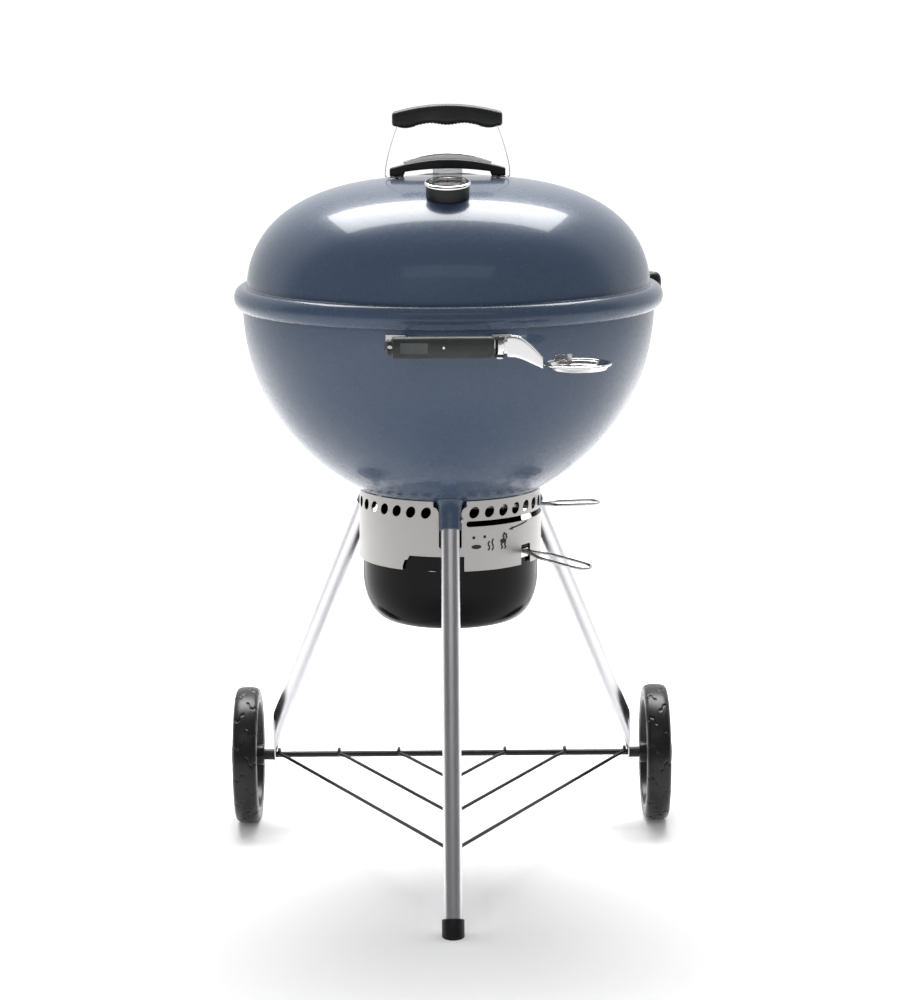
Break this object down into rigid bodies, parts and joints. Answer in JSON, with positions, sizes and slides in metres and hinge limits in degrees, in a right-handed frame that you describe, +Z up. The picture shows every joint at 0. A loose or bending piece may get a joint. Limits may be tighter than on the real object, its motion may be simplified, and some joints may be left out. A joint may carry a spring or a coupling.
{
  "type": "kettle charcoal grill",
  "caption": "Round enamelled charcoal grill on splayed legs with rear wheels: lift-off domed lid, turning vents, drop-down ash pot, hinged cooking grate and a swinging side dish.",
  "frame": {"origin": "floor point under the middle of the bounding box", "axes": "+Z up, -Y towards the front handle and the single foot, +X towards the vent lever and the dish"},
  "size_m": [0.66, 0.7324, 1.0718],
  "materials": {
    "slate_blue_enamel": "gloss porcelain enamel",
    "black_enamel": "gloss porcelain enamel",
    "black_plastic": "moulded, fine grain",
    "dark_grip_plastic": "moulded, satin",
    "grey_plastic": "moulded",
    "tread_plastic": "moulded, satin",
    "satin_aluminium": "satin",
    "brushed_steel": "satin",
    "polished_steel": "polished",
    "plated_wire": "plated wire",
    "black_wire": "powder coated",
    "dial_paint": "matt print ground",
    "gauge_glass": "clear",
    "needle_paint": "matt red"
  },
  "bodies": {
    "stand": {"bowl": "slate_blue_enamel", "ash_ring": "brushed_steel", "leg_front": "satin_aluminium", "leg_left": "satin_aluminium", "leg_right": "satin_aluminium", "leg_screw_front": "brushed_steel", "leg_screw_left": "brushed_steel", "leg_screw_right": "brushed_steel", "foot_cap": "black_plastic", "axle": "black_wire", "axle_bush_left": "grey_plastic", "axle_bush_right": "grey_plastic", "bottom_rack": "black_wire", "front_handle_bracket": "brushed_steel", "front_handle_grip": "dark_grip_plastic", "dish_pin": "polished_steel", "rear_handle_bracket": "brushed_steel", "rear_handle_grip": "black_plastic", "lid_holder_bracket": "brushed_steel"},
    "lid": {"lid_shell": "slate_blue_enamel", "lid_grip": "black_plastic", "lid_strap_left": "polished_steel", "lid_strap_right": "polished_steel", "lid_handle_arch": "black_plastic", "lid_heat_shield": "polished_steel", "lid_bolt_left": "brushed_steel", "lid_bolt_right": "brushed_steel", "thermometer_housing": "black_plastic", "thermometer_bezel": "polished_steel", "thermometer_glass": "gauge_glass", "thermometer_dial": "dial_paint", "thermometer_probe": "brushed_steel", "lid_damper_rivet": "brushed_steel"},
    "damper": {"lid_damper": "brushed_steel"},
    "needle": {"thermometer_needle": "needle_paint"},
    "left_wheel": {"wheel_left_tread": "tread_plastic", "wheel_left_hub": "tread_plastic", "wheel_left_cap": "grey_plastic"},
    "right_wheel": {"wheel_right_tread": "tread_plastic", "wheel_right_hub": "tread_plastic", "wheel_right_cap": "grey_plastic"},
    "side_dish": {"dish_arm": "polished_steel", "dish": "polished_steel"},
    "lid_holder": {"lid_holder_frame": "plated_wire", "lid_holder_bar": "black_plastic"},
    "vents": {"vent_blades": "brushed_steel", "vent_shaft": "brushed_steel", "vent_lever": "plated_wire"},
    "pot": {"ash_pot": "black_enamel", "ash_pot_handle": "plated_wire"},
    "grate": {"cooking_grate": "brushed_steel"},
    "left_flap": {"grate_flap_left": "brushed_steel"},
    "right_flap": {"grate_flap_right": "brushed_steel"},
    "coals": {"charcoal_grate": "brushed_steel"}
  },
  "joints": [
    {"name": "lid_lift", "type": "slide", "parent": "stand", "child": "lid", "axis": [0, 0, 1], "range_m": [0, 0.35]},
    {"name": "damper_turn", "type": "hinge", "parent": "lid", "child": "damper", "pos_m": [0, 0.13767, 0.96543], "axis": [0, 0.1593, 0.9872], "range_deg": [-45, 45]},
    {"name": "needle_turn", "type": "hinge", "parent": "lid", "child": "needle", "pos_m": [0, -0.13933, 0.95742], "axis": [0, -0.1908, 0.9816], "range_deg": [-230, 20]},
    {"name": "left_wheel_spin", "type": "hinge", "parent": "stand", "child": "left_wheel", "pos_m": [-0.304, 0.17523, 0.1016], "axis": [1, 0, 0], "continuous": true},
    {"name": "right_wheel_spin", "type": "hinge", "parent": "stand", "child": "right_wheel", "pos_m": [0.304, 0.17523, 0.1016], "axis": [1, 0, 0], "continuous": true},
    {"name": "dish_swing", "type": "hinge", "parent": "stand", "child": "side_dish", "pos_m": [0.0655, -0.31933, 0.7785], "axis": [0, 0, 1], "range_deg": [-70, 0]},
    {"name": "lid_holder_fold", "type": "hinge", "parent": "stand", "child": "lid_holder", "pos_m": [0.23288, 0.21308, 0.77], "axis": [-0.6428, 0.766, 0], "range_deg": [0, 100]},
    {"name": "vent_turn", "type": "hinge", "parent": "stand", "child": "vents", "pos_m": [0, 0.01767, 0.5062], "axis": [0, 0, 1], "range_deg": [-78, 0]},
    {"name": "pot_drop", "type": "slide", "parent": "stand", "child": "pot", "axis": [0, 0, -1], "range_m": [0, 0.12]},
    {"name": "grate_lift", "type": "slide", "parent": "stand", "child": "grate", "axis": [0, 0, 1], "range_m": [0, 0.06]},
    {"name": "left_flap_turn", "type": "hinge", "parent": "grate", "child": "left_flap", "pos_m": [-0.135, 0.01767, 0.75], "axis": [0, 1, 0], "range_deg": [0, 90]},
    {"name": "right_flap_turn", "type": "hinge", "parent": "grate", "child": "right_flap", "pos_m": [0.135, 0.01767, 0.75], "axis": [0, -1, 0], "range_deg": [0, 90]},
    {"name": "charcoal_lift", "type": "slide", "parent": "stand", "child": "coals", "axis": [0, 0, 1], "range_m": [0, 0.09]}
  ]
}
